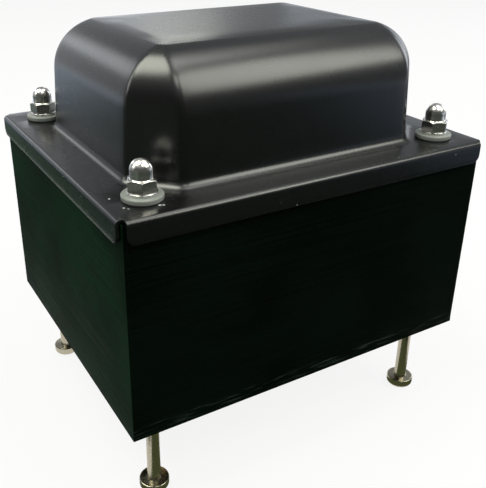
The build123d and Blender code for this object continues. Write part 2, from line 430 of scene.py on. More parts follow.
def cover_mesh():
    """Outside of the cover as one sheet: dome, flange with its bolt holes, and four skirts."""
    rings = dome_rings()
    x_end, y_end = COVER_HALF_LENGTH - RELIEF, COVER_HALF_WIDTH - RELIEF
    parts = [dome(rings), flange(rings[-1], x_end, y_end)]
    for side in range(4):
        half_span, out = (x_end, COVER_HALF_WIDTH) if side % 2 else (y_end, COVER_HALF_LENGTH)
        parts.append(skirt(half_span, out, QUARTER * side))
    points = []
    faces = []
    for part_points, part_faces in parts:
        faces += [tuple(len(points) + corner for corner in face) for face in part_faces]
        points += part_points
    mesh = new_mesh("cover", points, faces)
    merge_points(mesh, COVER_MERGE)
    face_outwards(mesh)
    return mesh


def make_cover(material):
    """Drawn steel cover of even thickness, with its edges broken."""
    cover = new_piece("cover", cover_mesh(), "top_cover", material)
    add_modifier(cover, "SOLIDIFY", thickness=COVER_WALL * MM, offset=-1.0, use_even_offset=True)
    soften(cover, COVER_EDGE, COVER_EDGE_ANGLE)


# Core: sheets with broken edges, each a little out of line with the next, in millimetres. They are laid in
# groups, alternately from the front and from the back, and the lowest ones stand out a little to the front.
SHEET = 0.5
SHEET_CHAMFER = 0.05
SHEET_SHIFT = 0.03
SHEET_GROUP = 3
SHEET_HOLE_STEPS = 16
SHEET_MERGE = 0.0002
JOINT_GAP = 0.04
LOWEST_SHEETS = 4
LOWEST_SHIFT = 0.1
E_SEED, I_SEED = 11, 12


def e_outline():
    """Outline of an E sheet whose legs point to +y, in millimetres."""
    half = CORE_LENGTH / 2
    back = -CORE_WIDTH / 2
    tip = CORE_WIDTH / 2 - LIMB - JOINT_GAP
    root = back + LIMB
    window_in, window_out = TONGUE / 2, TONGUE / 2 + LIMB
    window = [(window_out, tip), (window_out, root), (window_in, root), (window_in, tip)]
    right = [(half, back), (half, tip)] + window
    left = [(-x, y) for x, y in reversed(right)]
    return left[-1:] + right + left[:-1]


def i_outline():
    """Outline of the I sheet that closes it."""
    half = CORE_LENGTH / 2
    near, far = CORE_WIDTH / 2 - LIMB, CORE_WIDTH / 2
    return [(-half, near), (half, near), (half, far), (-half, far)]


def inset_loop(loop, distance):
    """Loop moved inwards by a distance, for loops that turn left."""
    moved = []
    for step in range(len(loop)):
        before, here, after = (Vector(loop[place % len(loop)]) for place in (step - 1, step, step + 1))
        into = (here - before).normalized()
        out = (after - here).normalized()
        shift = Vector((-into.y, into.x)) + Vector((-out.y, out.x))
        moved.append(tuple(here + shift * distance / (1 + into.dot(out))))
    return moved


def one_sheet(outline, holes):
    """Points and faces of one sheet that lies on level 0, with broken edges."""
    inner = inset_loop(outline, SHEET_CHAMFER)
    cap, cap_faces = flat_region(inner, holes, 0.0)
    points = []

    def put(places, level):
        """Add points at a level, and return the number of the first one."""
        points.extend((place[0], place[1], level) for place in places)
        return len(points) - len(places)

    bottom = put(cap, 0.0)
    faces = [tuple(bottom + corner for corner in reversed(face)) for face in cap_faces]
    top = put(cap, SHEET)
    faces += [tuple(top + corner for corner in face) for face in cap_faces]
    edge = [(inner, 0.0), (outline, SHEET_CHAMFER), (outline, SHEET - SHEET_CHAMFER), (inner, SHEET)]
    loops = [put(places, level) for places, level in edge]
    for first, second in zip(loops, loops[1:]):
        faces += band(first, second, len(outline))
    for hole in holes:
        first, second = put(hole, 0.0), put(hole, SHEET)
        faces += band(second, first, len(hole))
    return points, faces


def sheet_stack(name, outline, hole_side, seed):
    """Mesh of every sheet of one kind in the stack."""
    rng = random.Random(seed)
    holes = [circle(side * HOLE_X, hole_side * HOLE_Y, HOLE_RADIUS, SHEET_HOLE_STEPS) for side in (-1, 1)]
    sheet_points, sheet_faces = one_sheet(outline, holes)
    points = []
    faces = []
    for number in range(round((CORE_TOP - CORE_BOTTOM) / SHEET)):
        turned = -1 if (number // SHEET_GROUP) % 2 else 1
        shift_x = rng.uniform(-SHEET_SHIFT, SHEET_SHIFT)
        shift_y = rng.uniform(-SHEET_SHIFT, SHEET_SHIFT)
        if number < LOWEST_SHEETS:
            shift_y = -LOWEST_SHIFT * (LOWEST_SHEETS - number) / LOWEST_SHEETS
        low = CORE_BOTTOM + number * SHEET
        faces += [tuple(len(points) + corner for corner in face) for face in sheet_faces]
        points += [(turned * x + shift_x, turned * y + shift_y, low + z) for x, y, z in sheet_points]
    mesh = new_mesh(name, points, faces)
    merge_points(mesh, SHEET_MERGE)
    return mesh


def make_core(material):
    """Stack of E and I sheets."""
    e_mesh = sheet_stack("e_sheets", e_outline(), -1, E_SEED)
    new_piece("e_sheets", e_mesh, "e_laminations", material)
    i_mesh = sheet_stack("i_sheets", i_outline(), 1, I_SEED)
    new_piece("i_sheets", i_mesh, "i_laminations", material)


# Washers and nuts, in millimetres, one upon the other on the flange
NYLON_THICKNESS = 1.6
STEEL_THICKNESS = 0.8
NYLON_LEVEL = FLANGE_TOP
STEEL_LEVEL = NYLON_LEVEL + NYLON_THICKNESS
NUT_LEVEL = STEEL_LEVEL + STEEL_THICKNESS
NYLON = {"radius": 6.1, "thickness": NYLON_THICKNESS, "level": NYLON_LEVEL, "edge": 0.35}
STEEL = {"radius": 4.4, "thickness": STEEL_THICKNESS, "level": STEEL_LEVEL, "edge": 0.15}
WASHER_BORE = 2.65
WASHER_STEPS = 64
WASHER_EDGE_STEPS = 4
WASHER_MERGE = 0.001
# Nut: a hexagon with a countersunk bore, chamfered corners and a round face above and below, whose rims lie a
# little inside the chamfer, and a cap on a small fillet
NUT_ACROSS_FLATS = 8.0
NUT_FACE_SHARE = 0.985
NUT_FACE_RIM_BELOW = 0.1
NUT_FACE_RIM_ABOVE = 0.05
NUT_CHAMFER_SLOPE = math.tan(math.radians(30.0))
NUT_HEX_HEIGHT = 3.8
NUT_CAP_RADIUS = 3.4
NUT_CAP_FILLET = 0.25
NUT_CAP_FILLET_MIDDLE = 0.07
NUT_HEIGHT = 9.5
NUT_BORE_RADIUS = 2.55
NUT_BORE_DEPTH = 7.2
NUT_COUNTERSINK = 0.4
NUT_SIDE_STEPS = 12
NUT_CAP_STEPS = 14
NUT_TURNS = (6.3, 44.1, 37.7, 20.0)
NUT_EDGE = 0.1
NUT_EDGE_ANGLE = 22.0
NUT_SMOOTH_ANGLE = 28.0


def lathe_rings(profile, steps):
    """Rings of a turned shape from its (radius, level) points."""
    return [[(x, y, level) for x, y in circle(0.0, 0.0, radius, steps)] for radius, level in profile]


def at_bolts(level, turns=(0.0, 0.0, 0.0, 0.0)):
    return [(x, y, level, turn) for (x, y), turn in zip(BOLT_PLACES, turns)]


def copies(name, mesh, places):
    """One mesh with a copy of a mesh at each (x, y, level, turn)."""
    joined = bmesh.new()
    for x, y, level, turn in places:
        first = len(joined.verts)
        joined.from_mesh(mesh)
        joined.verts.ensure_lookup_table()
        move = Matrix.Translation((x * MM, y * MM, level * MM)) @ Matrix.Rotation(math.radians(turn), 4, "Z")
        bmesh.ops.transform(joined, matrix=move, verts=joined.verts[first:])
    made = bpy.data.meshes.new(name)
    bmesh.ops.recalc_face_normals(joined, faces=joined.faces)
    joined.to_mesh(made)
    joined.free()
    return made


def nut_rings():
    """Rings of an acorn nut that stands on level 0, from the bottom of its bore to the top of its cap."""
    steps = 6 * NUT_SIDE_STEPS
    flat = NUT_ACROSS_FLATS / 2
    face = flat * NUT_FACE_SHARE
    turns = [2 * math.pi * step / steps for step in range(steps)]
    hexagon = [flat / math.cos(turn % (math.pi / 3) - math.pi / 6) for turn in turns]
    chamfer = [(radius - face) * NUT_CHAMFER_SLOPE for radius in hexagon]

    def ring(radii, levels):
        places = zip(turns, radii, levels)
        return [(radius * math.cos(turn), radius * math.sin(turn), level) for turn, radius, level in places]

    def round_ring(radius, level):
        return ring([radius] * steps, [level] * steps)

    rings = [
        round_ring(NUT_BORE_RADIUS, NUT_BORE_DEPTH),
        round_ring(NUT_BORE_RADIUS, NUT_COUNTERSINK),
        round_ring(NUT_BORE_RADIUS + NUT_COUNTERSINK, 0.0),
        round_ring(face - NUT_FACE_RIM_BELOW, 0.0),
        ring(hexagon, chamfer),
        ring(hexagon, [NUT_HEX_HEIGHT - drop for drop in chamfer]),
        round_ring(face - NUT_FACE_RIM_ABOVE, NUT_HEX_HEIGHT),
        round_ring(NUT_CAP_RADIUS + NUT_CAP_FILLET, NUT_HEX_HEIGHT),
        round_ring(NUT_CAP_RADIUS + NUT_CAP_FILLET_MIDDLE, NUT_HEX_HEIGHT + NUT_CAP_FILLET_MIDDLE),
        round_ring(NUT_CAP_RADIUS, NUT_HEX_HEIGHT + NUT_CAP_FILLET),
    ]
    cap_centre = (0.0, NUT_HEIGHT - NUT_CAP_RADIUS)
    cap = arc(cap_centre, NUT_CAP_RADIUS, 0.0, QUARTER, NUT_CAP_STEPS)[:-1]
    return rings + [round_ring(radius, level) for radius, level in cap]


def make_nuts(material):
    nut = rings_mesh("nut", nut_rings(), closed=True)
    mesh = copies("nuts", nut, at_bolts(NUT_LEVEL, NUT_TURNS))
    nuts = new_piece("nuts", mesh, "acorn_nuts", material, NUT_SMOOTH_ANGLE)
    soften(nuts, NUT_EDGE, NUT_EDGE_ANGLE)


def washer_profile(radius, thickness, edge):
    """Closed profile of a flat ring with rounded outer edges."""
    centre = radius - edge
    profile = [(WASHER_BORE, thickness), (WASHER_BORE, 0.0)]
    profile += arc((centre, edge), edge, -QUARTER, QUARTER, WASHER_EDGE_STEPS)
    profile += arc((centre, thickness - edge), edge, 0.0, QUARTER, WASHER_EDGE_STEPS)
    return profile + [(WASHER_BORE, thickness)]


def make_washers(name, node, slot, material, radius, thickness, level, edge):
    ring = rings_mesh(name, lathe_rings(washer_profile(radius, thickness, edge), WASHER_STEPS))
    merge_points(ring, WASHER_MERGE)
    new_piece(name, copies(name, ring, at_bolts(level)), node, material)


# Bolts, in millimetres: a head at the bottom, crowned below and with a broken upper edge, a thinner shank,
# and the thicker end that carries the thread, a plain cylinder because core, washers and nut hide it
HEAD_RADIUS = 5.0
HEAD_HEIGHT = 3.7
HEAD_CROWN = 1.5
HEAD_CROWN_LEVEL = 0.12
HEAD_MIDDLE = (1.6, 0.03)
HEAD_EDGE = 0.35
HEAD_CROWN_STEPS = 7
HEAD_EDGE_STEPS = 3
SHANK_RADIUS = 2.24
SHANK_FILLET = 0.4
THREAD_RADIUS = 2.5
THREAD_BOTTOM = 91.7
TIP_CHAMFER = 0.5
BOLT_TOP = 113.7
BOLT_STEPS = 48
BOLT_MIDDLE_RADIUS = 0.05
BOLT_TURNS = (12.0, 0.0, 33.0, 0.0)
BOLT_SMOOTH_ANGLE = 40.0
# Cross recess under the head
RECESS_SPAN = 2.3
RECESS_HALF_WIDTH = 0.6
RECESS_DEPTH = 2.2
RECESS_TAPER = 0.86
RECESS_BELOW = 0.5


def bolt_profile():
    """(radius, level) points of a bolt, from the middle of its head's underside to its tip."""
    profile = [(BOLT_MIDDLE_RADIUS, 0.0), HEAD_MIDDLE]
    crown_centre = (HEAD_RADIUS - HEAD_CROWN, HEAD_CROWN_LEVEL + HEAD_CROWN)
    profile += arc(crown_centre, HEAD_CROWN, -QUARTER, QUARTER, HEAD_CROWN_STEPS)
    edge_centre = (HEAD_RADIUS - HEAD_EDGE, HEAD_HEIGHT - HEAD_EDGE)
    profile += arc(edge_centre, HEAD_EDGE, 0.0, QUARTER, HEAD_EDGE_STEPS)
    fillet_middle = SHANK_FILLET / 4
    profile += [
        (SHANK_RADIUS + SHANK_FILLET, HEAD_HEIGHT),
        (SHANK_RADIUS + fillet_middle, HEAD_HEIGHT + fillet_middle),
        (SHANK_RADIUS, HEAD_HEIGHT + SHANK_FILLET),
        (SHANK_RADIUS, CORE_BOTTOM / 2),
        (SHANK_RADIUS, THREAD_BOTTOM),
        (THREAD_RADIUS, THREAD_BOTTOM + THREAD_RADIUS - SHANK_RADIUS),
        (THREAD_RADIUS, BOLT_TOP - TIP_CHAMFER),
        (THREAD_RADIUS - TIP_CHAMFER, BOLT_TOP),
        (BOLT_MIDDLE_RADIUS, BOLT_TOP),
    ]
    return profile


def recess_mesh():
    """Tapered cross that cuts the recess of a head."""
    half = RECESS_HALF_WIDTH
    arm = [(RECESS_SPAN, -half), (RECESS_SPAN, half), (half, half)]
    cross = []
    for _ in range(4):
        cross += arm
        arm = [(-y, x) for x, y in arm]
    rings = [
        [(x, y, -RECESS_BELOW) for x, y in cross],
        [(x, y, 0.0) for x, y in cross],
        [(x * RECESS_TAPER, y * RECESS_TAPER, RECESS_DEPTH) for x, y in cross],
    ]
    return rings_mesh("recess", rings, closed=True)


def make_bolts(material):
    """Bolts with a rounded pan head and a cross recess under it."""
    bolt = new_object("bolt", rings_mesh("bolt", lathe_rings(bolt_profile(), BOLT_STEPS), closed=True))
    cutter = new_object("recess", recess_mesh())
    face_outwards(bolt.data)
    face_outwards(cutter.data)
    add_modifier(bolt, "BOOLEAN", operation="DIFFERENCE", object=cutter, solver="EXACT")
    bpy.context.view_layer.update()
    bake_modifiers(bolt)
    mesh = copies("bolts", bolt.data, at_bolts(0.0, BOLT_TURNS))
    bpy.data.objects.remove(bolt)
    bpy.data.objects.remove(cutter)
    new_piece("bolt_set", mesh, "bolts", material, BOLT_SMOOTH_ANGLE)


class Shader:
    """A node material with one Principled shader and the usual steps of procedural detail."""

    def __init__(self, name, colour, roughness, metallic=0.0, specular=0.5):
        self.material = bpy.data.materials.new(name)
        self.material.use_nodes = True
        self.nodes = self.material.node_tree.nodes
        self.links = self.material.node_tree.links
        self.shader = self.nodes["Principled BSDF"]
        self.set("Base Color", colour)
        self.set("Roughness", roughness)
        self.set("Metallic", metallic)
        self.set("Specular IOR Level", specular)

    def feed(self, socket, value):
        """Link a socket to another node's output, or set it to a value. A colour has no alpha here."""
        if isinstance(value, bpy.types.NodeSocket):
            self.links.new(value, socket)
        elif socket.type == "RGBA":
            socket.default_value = (*value, 1.0)
        else:
            socket.default_value = value

    def set(self, name, value):
        """Feed a socket of the Principled shader."""
        self.feed(self.shader.inputs[name], value)

    def node(self, kind, **inputs):
        """A node with its inputs fed. An input is given by its name, or by the letter i and its number."""
        made = self.nodes.new(kind)
        for name, value in inputs.items():
            by_number = name[0] == "i" and name[1:].isdigit()
            self.feed(made.inputs[int(name[1:]) if by_number else name], value)
        return made

    def place(self):
        """Place in the object's own frame, in metres."""
        return self.node("ShaderNodeTexCoord").outputs["Object"]

    def noise(self, scale, detail=3.0, stretch=(1.0, 1.0, 1.0)):
        """Noise, stretched along the object's axes."""
        place = self.node("ShaderNodeMapping", Vector=self.place(), Scale=stretch).outputs[0]
        return self.node("ShaderNodeTexNoise", Vector=place, Scale=scale, Detail=detail).outputs["Fac"]

    def spread(self, factor, low, high, from_low=0.3, from_high=0.7):
        """A factor spread over a range of values."""
        made = self.node("ShaderNodeMapRange", i0=factor, i1=from_low, i2=from_high, i3=low, i4=high)
        return made.outputs[0]

    def between(self, factor, first, second):
        """A colour between two colours."""
        made = self.nodes.new("ShaderNodeMix")
        made.data_type = "RGBA"
        self.feed(made.inputs[0], factor)
        self.feed(made.inputs[6], first)
        self.feed(made.inputs[7], second)
        return made.outputs[2]

    def combine(self, operation, first, second):
        """Two factors combined by a Math node's operation."""
        made = self.node("ShaderNodeMath", i0=first, i1=second)
        made.operation = operation
        return made.outputs[0]

    def along(self, axis):
        """Place along an axis, in metres."""
        return self.node("ShaderNodeSeparateXYZ", Vector=self.place()).outputs[axis]

    def specks(self, scale, size):
        """1 in small round spots scattered over the surface, and 0 between them."""
        cells = self.node("ShaderNodeTexVoronoi", Vector=self.place(), Scale=scale).outputs["Distance"]
        return self.spread(cells, 1.0, 0.0, size * 0.6, size)

    def chip(self, place, radius):
        """1 in a ragged spot at a place, and 0 round it."""
        away = self.node("ShaderNodeVectorMath", i0=self.place(), i1=place)
        away.operation = "DISTANCE"
        raggedness = self.spread(self.noise(1500.0, 2.0), 0.6, 1.6)
        ragged = self.combine("MULTIPLY", away.outputs["Value"], raggedness)
        return self.spread(ragged, 1.0, 0.0, radius * 0.8, radius)

    def bump(self, height, distance, strength):
        """Relief in metres from a height factor."""
        made = self.node("ShaderNodeBump", Height=height, Distance=distance, Strength=strength)
        self.set("Normal", made.outputs[0])


# Dust and chips lie on the cover's flange. All in metres: the highest dust, how far it fades above that, and
# each chip's x, y and radius.
DUST_TOP = 0.107
DUST_FADE = 0.001
CHIPS = (
    (-0.0534, -0.0510, 0.0006),
    (-0.0526, -0.0514, 0.0004),
    (-0.0627, -0.0481, 0.0004),
    (-0.0618, -0.0493, 0.0003),
    (-0.0638, -0.0404, 0.0004),
    (-0.0562, -0.0185, 0.0004),
    (-0.0565, 0.0115, 0.0004),
)


def cover_paint():
    """Satin black paint over drawn steel: fine orange peel, faint haze, and dust and chips on the flange."""
    paint = Shader("cover_paint", (0.002, 0.0024, 0.0023), 0.27, specular=0.88)
    base = paint.between(paint.noise(22.0, 4.0), (0.0012, 0.0017, 0.0015), (0.0024, 0.0031, 0.0028))
    low = paint.spread(paint.along("Z"), 1.0, 0.0, DUST_TOP, DUST_TOP + DUST_FADE)
    patches = paint.spread(paint.noise(60.0, 2.0), 0.0, 1.0, 0.60, 0.64)
    specks = paint.combine("MULTIPLY", paint.specks(520.0, 0.10), patches)
    worn = paint.combine("MULTIPLY", specks, low)
    for x, y, radius in CHIPS:
        worn = paint.combine("MAXIMUM", worn, paint.chip((x, y, FLANGE_TOP * MM), radius))
    paint.set("Base Color", paint.between(worn, base, (0.42, 0.43, 0.42)))
    haze = paint.spread(paint.noise(70.0, 3.0), 0.265, 0.285)
    paint.set("Roughness", paint.spread(worn, haze, 0.75, 0.0, 1.0))
    paint.bump(paint.noise(1400.0, 2.0), 0.000012, 0.5)
    return paint.material


# Beyond this distance from the middle lie the core's ends, which get painted light: a lighter, greener
# colour, as if the light fell on them from the side. Its lowest sheets have lighter streaks between two
# levels. All in metres, as are the widths over which one colour goes over into the other.
PAINTED_LIGHT_END_FROM, PAINTED_LIGHT_END_FADE = 0.06645, 0.0001
LOW_STREAKS_FROM, LOW_STREAKS_FROM_FADE = 0.0330, 0.0002
LOW_STREAKS_TO, LOW_STREAKS_TO_FADE = 0.0362, 0.0006


def core_varnish_and_painted_light():
    """Thin dark green varnish over the cut edges of stacked sheets: matt, with streaks along the sheets, and
    painted light: the two ends lighter and greener than the long sides. The lowest sheets have lighter
    streaks.
    """
    core = Shader("core_varnish_and_painted_light", (0.001, 0.003, 0.0015), 0.6, specular=0.03)
    streak = core.noise(34.0, 5.0, (0.5, 0.5, 28.0))
    lines = core.spread(streak, 0.0, 1.0, 0.40, 0.72)
    blot = core.spread(core.noise(30.0, 3.0), 0.0, 1.0, 0.38, 0.62)
    side_dark = core.between(blot, (0.0003, 0.0020, 0.0008), (0.0006, 0.0034, 0.0015))
    side_light = core.between(blot, (0.0008, 0.0042, 0.0019), (0.0014, 0.0060, 0.0029))
    long_side = core.between(lines, side_dark, side_light)
    # Painted light: the ends get a lighter, greener copy of the varnish, as if lit from the side
    painted_light_end_dark = core.between(blot, (0.0006, 0.0090, 0.0026), (0.0018, 0.0160, 0.0050))
    painted_light_end_light = core.between(blot, (0.0020, 0.0150, 0.0055), (0.0045, 0.0270, 0.0105))
    painted_light_end = core.between(lines, painted_light_end_dark, painted_light_end_light)
    from_middle = core.combine("ABSOLUTE", core.along("X"), 0.0)
    painted_light_end_share = core.spread(from_middle, 0.0, 1.0, PAINTED_LIGHT_END_FROM, PAINTED_LIGHT_END_FROM + PAINTED_LIGHT_END_FADE)
    varnish_and_painted_light = core.between(painted_light_end_share, long_side, painted_light_end)
    # Lighter streaks on the lowest sheets, between two levels
    above = core.spread(core.along("Z"), 0.0, 1.0, LOW_STREAKS_FROM, LOW_STREAKS_FROM + LOW_STREAKS_FROM_FADE)
    below = core.spread(core.along("Z"), 1.0, 0.0, LOW_STREAKS_TO, LOW_STREAKS_TO + LOW_STREAKS_TO_FADE)
    stretches = core.spread(core.noise(70.0, 5.0, (1.6, 1.6, 24.0)), 0.0, 1.0, 0.52, 0.68)
    low_streaks = core.combine("MULTIPLY", core.combine("MULTIPLY", above, below), stretches)
    core.set("Base Color", core.between(low_streaks, varnish_and_painted_light, (0.020, 0.029, 0.024)))
    core.set("Roughness", core.spread(streak, 0.45, 0.62))
    core.bump(core.noise(260.0, 4.0, (0.4, 0.4, 6.0)), 0.00003, 0.4)
    return core.material


def plated(name, colour, roughness, relief=0.3):
    """Bright plated metal with faint drawing marks."""
    metal = Shader(name, colour, roughness, metallic=1.0)
    mark = metal.noise(400.0, 3.0, (1.0, 1.0, 4.0))
    metal.set("Roughness", metal.spread(mark, roughness * 0.7, roughness * 1.5))
    metal.bump(mark, 0.00002, relief)
    return metal.material


def plain(name, light, dark, roughness, scale, stretch=(1.0, 1.0, 1.0)):
    """Dull surface whose colour and height vary with one grain."""
    surface = Shader(name, light, roughness, specular=0.4)
    grain = surface.noise(scale, 5.0, stretch)
    surface.set("Base Color", surface.between(grain, dark, light))
    surface.set("Roughness", surface.spread(grain, roughness * 0.85, roughness * 1.15))
    surface.bump(grain, 0.00005, 0.6)
    return surface.material


def nylon():
    """Milky translucent nylon."""
    milk = Shader("nylon", (0.27, 0.29, 0.27), 0.42)
    milk.set("Subsurface Weight", 0.4)
    milk.set("Subsurface Radius", (0.002, 0.002, 0.002))
    cloud = milk.noise(300.0, 2.0)
    milk.set("Base Color", milk.between(cloud, (0.23, 0.25, 0.23), (0.31, 0.33, 0.31)))
    milk.bump(cloud, 0.00003, 0.3)
    return milk.material


def finish_nodes(material, *nodes):
    """Give CAD nodes a material."""
    for node in nodes:
        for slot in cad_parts[node].material_slots:
            slot.material = material


make_cover(cover_paint())
make_core(core_varnish_and_painted_light())
make_nuts(plated("nut_chrome", (0.82, 0.80, 0.75), 0.19, 0.1))
make_bolts(plated("bolt_nickel", (0.47, 0.43, 0.33), 0.22))
make_washers("nylon_rings", "nylon_washers", "nylon", nylon(), **NYLON)
steel = plated("bright_steel", (0.80, 0.80, 0.79), 0.20)
make_washers("steel_rings", "steel_washers", "bright_steel", steel, **STEEL)

# Materials of the pieces that stay as the CAD model has them
tinned = plated("tinned_brass", (0.72, 0.72, 0.69), 0.30)
paper = plain("insulation_paper", (0.62, 0.50, 0.30), (0.50, 0.38, 0.20), 0.6, 250.0)
wrap = plain("coil_wrap", (0.55, 0.40, 0.20), (0.42, 0.29, 0.13), 0.42, 180.0, (1.0, 6.0, 1.0))
board = plain("board_laminate", (0.22, 0.12, 0.06), (0.15, 0.08, 0.04), 0.45, 300.0, (1.0, 8.0, 1.0))
fibre = plain("fibre", (0.36, 0.26, 0.15), (0.27, 0.18, 0.10), 0.7, 400.0)
plastic = plain("bobbin_plastic", (0.035, 0.035, 0.034), (0.022, 0.022, 0.022), 0.45, 300.0)
wire = plain("copper_wire", (0.42, 0.14, 0.05), (0.30, 0.09, 0.03), 0.3, 500.0, (1.0, 30.0, 1.0))
foil = plated("copper_foil", (0.72, 0.36, 0.22), 0.3)
finish_nodes(tinned, "primary_lugs", "secondary_lugs")
finish_nodes(paper, "primary_insulation", "screen_insulation", "high_voltage_insulation")
finish_nodes(wire, "primary_winding", "high_voltage_winding", "heater_winding")
finish_nodes(board, "primary_board", "secondary_board")
finish_nodes(foil, "electrostatic_screen")
finish_nodes(wrap, "outer_wrap")
finish_nodes(fibre, "core_wedges")
finish_nodes(plastic, "bobbin")

# The camera stands where the photograph was taken from. Its axes are unit vectors in the part's frame.
IMAGE_WIDTH = 486
IMAGE_HEIGHT = 488
CAMERA_PLACE = Vector((-0.1272, -0.2074, 0.1812))
CAMERA_FORWARD = Vector((0.45525, 0.79005, -0.41056))
CAMERA_RIGHT = Vector((0.86699, -0.49832, 0.00244))
CAMERA_NEAREST = 0.01
FOCAL_PIXELS = 695.7
CENTRE_COLUMN = 212.2
CENTRE_ROW = 211.2
SENSOR_WIDTH = 36.0


def place_camera():
    """Camera at the photograph's place, angle and framing."""
    camera = bpy.data.cameras.new("camera")
    camera.sensor_width = SENSOR_WIDTH
    camera.lens = FOCAL_PIXELS * SENSOR_WIDTH / IMAGE_HEIGHT
    camera.shift_x = (IMAGE_WIDTH / 2 - CENTRE_COLUMN) / IMAGE_HEIGHT
    camera.shift_y = (CENTRE_ROW - IMAGE_HEIGHT / 2) / IMAGE_HEIGHT
    camera.clip_start = CAMERA_NEAREST
    holder = new_object("camera", camera)
    forward = CAMERA_FORWARD.normalized()
    right = (CAMERA_RIGHT - CAMERA_RIGHT.dot(forward) * forward).normalized()
    up = right.cross(forward)
    axes = Matrix((right, up, -forward)).transposed()
    holder.matrix_world = Matrix.Translation(CAMERA_PLACE) @ axes.to_4x4()
    bpy.context.scene.camera = holder


# Floor, world and lamps. A lamp has its place and size in metres, its power in watts and its colour.
FLOOR_SIZE = 6.0
FLOOR_GREY = 0.86
FLOOR_SHADOW_SHARE = 0.13
WORLD_LEVEL = 0.30
LAMP_AIM = Vector((0.0, 0.0, 0.08))
LAMPS = {
    "lamp_front_right": ((0.55, -0.57, 0.85), 0.58, 4.7, (0.99, 1.0, 0.89)),
    "lamp_front_top": ((-0.05, -0.56, 0.93), 0.30, 1.2, (0.99, 1.0, 0.89)),
    "lamp_overhead": ((0.26, -0.10, 1.18), 0.45, 1.8, (1.0, 0.99, 0.95)),
    "lamp_back_left": ((-0.41, 1.12, 0.56), 0.31, 0.55, (0.94, 0.97, 1.0)),
    "lamp_top_left": ((-0.48, 0.12, 1.10), 0.62, 8.1, (0.99, 1.0, 0.86)),
    "lamp_left": ((-0.95, 0.32, 0.64), 0.25, 0.6, (1.0, 1.0, 0.97)),
    "lamp_back": ((0.408, 0.836, 0.448), 0.14, 0.15, (0.99, 1.0, 0.91)),
    "lamp_right": ((1.15, 0.08, 0.40), 0.55, 2.6, (0.92, 0.96, 1.0)),
}


def even(colour):
    """One colour at all four corners of a card."""
    return (colour,) * 4


def rising(low, high):
    """Colours of a card whose first two corners are its lower ones."""
    return (low, low, high, high)


def receding(near, far):
    """Colours of a card whose two middle corners are its nearer ones."""
    return (far, near, near, far)


# The cards on the left lean away from the object, side by side: x and z of their lower and upper edges
LEFT_LOWER = (-0.10, 0.002)
LEFT_UPPER = (-0.36, 0.09)


def left_corners(near, far):
    """Corners of a card on the left, between two places along y."""
    (low_x, low_z), (high_x, high_z) = LEFT_LOWER, LEFT_UPPER
    return ((low_x, far, low_z), (low_x, near, low_z), (high_x, near, high_z), (high_x, far, high_z))


# Colours where two cards meet, or that neighbours share
FRONT_DARK, FRONT_LIGHT = (0.020, 0.028, 0.022), (0.085, 0.095, 0.080)
LEFT_NEAR, LEFT_MIDDLE = (0.03, 0.035, 0.03), (0.13, 0.16, 0.16)
LEFT_FAR, LEFT_FARTHEST = (0.70, 0.82, 0.98), (0.90, 0.98, 1.05)
# Cards, seen only by what mirrors them: the four corners in metres, and the colour at each
CARDS = {
    "card_front": (
        ((-0.34, -0.075, 0.002), (0.14, -0.075, 0.002), (0.14, -0.34, 0.17), (-0.34, -0.34, 0.17)),
        rising(FRONT_DARK, FRONT_LIGHT),
    ),
    "card_front_right": (
        ((0.14, -0.075, 0.002), (0.24, -0.075, 0.002), (0.24, -0.34, 0.17), (0.14, -0.34, 0.17)),
        (FRONT_DARK, (0.010, 0.016, 0.016), (0.50, 0.62, 0.84), FRONT_LIGHT),
    ),
    # Painted shadow: a dark card on the floor under the front of the object, which the bolts and the paint
    # mirror as the shadow there
    "card_painted_shadow": (
        ((-0.062, -0.04, 0.0012), (-0.105, -0.13, 0.0012), (0.06, -0.13, 0.0012), (0.075, -0.04, 0.0012)),
        even((0.10, 0.12, 0.06)),
    ),
    "card_right": (
        ((0.24, -0.34, 0.004), (0.90, -0.34, 0.004), (0.90, 0.60, 0.004), (0.10, 0.60, 0.004)),
        even((0.15, 0.18, 0.23)),
    ),
    "card_horizon": (
        ((1.60, 0.45, 0.004), (1.00, 1.35, 0.004), (1.00, 1.35, 0.42), (1.60, 0.45, 0.26)),
        even((0.95, 1.02, 1.10)),
    ),
    "card_above": (
        ((0.36, -0.18, 1.30), (0.84, -0.18, 1.30), (0.84, 0.34, 1.30), (0.36, 0.34, 1.30)),
        even((1.45, 1.45, 1.38)),
    ),
    "card_rim": (
        ((-0.995, 0.171, 0.389), (-0.887, 0.453, 0.389), (-0.371, 0.527, 0.896), (-0.542, 0.383, 0.896)),
        even((3.6, 3.6, 3.4)),
    ),
    "card_corner": (
        ((-0.085, 0.02, 0.002), (-0.075, -0.07, 0.002), (-0.34, -0.34, 0.12), (-0.50, 0.02, 0.12)),
        rising((0.05, 0.06, 0.05), (0.12, 0.14, 0.12)),
    ),
    "card_left_low": (
        ((-0.092, 0.30, 0.002), (-0.092, 0.00, 0.002), (-0.092, 0.00, 0.084), (-0.092, 0.30, 0.078)),
        receding((0.03, 0.07, 0.04), (0.06, 0.14, 0.08)),
    ),
    "card_left_near": (left_corners(-0.15, 0.31), receding(LEFT_NEAR, LEFT_MIDDLE)),
    "card_left": (left_corners(0.31, 0.45), receding(LEFT_MIDDLE, LEFT_FAR)),
    "card_left_far": (left_corners(0.45, 0.75), receding(LEFT_FAR, LEFT_FARTHEST)),
}
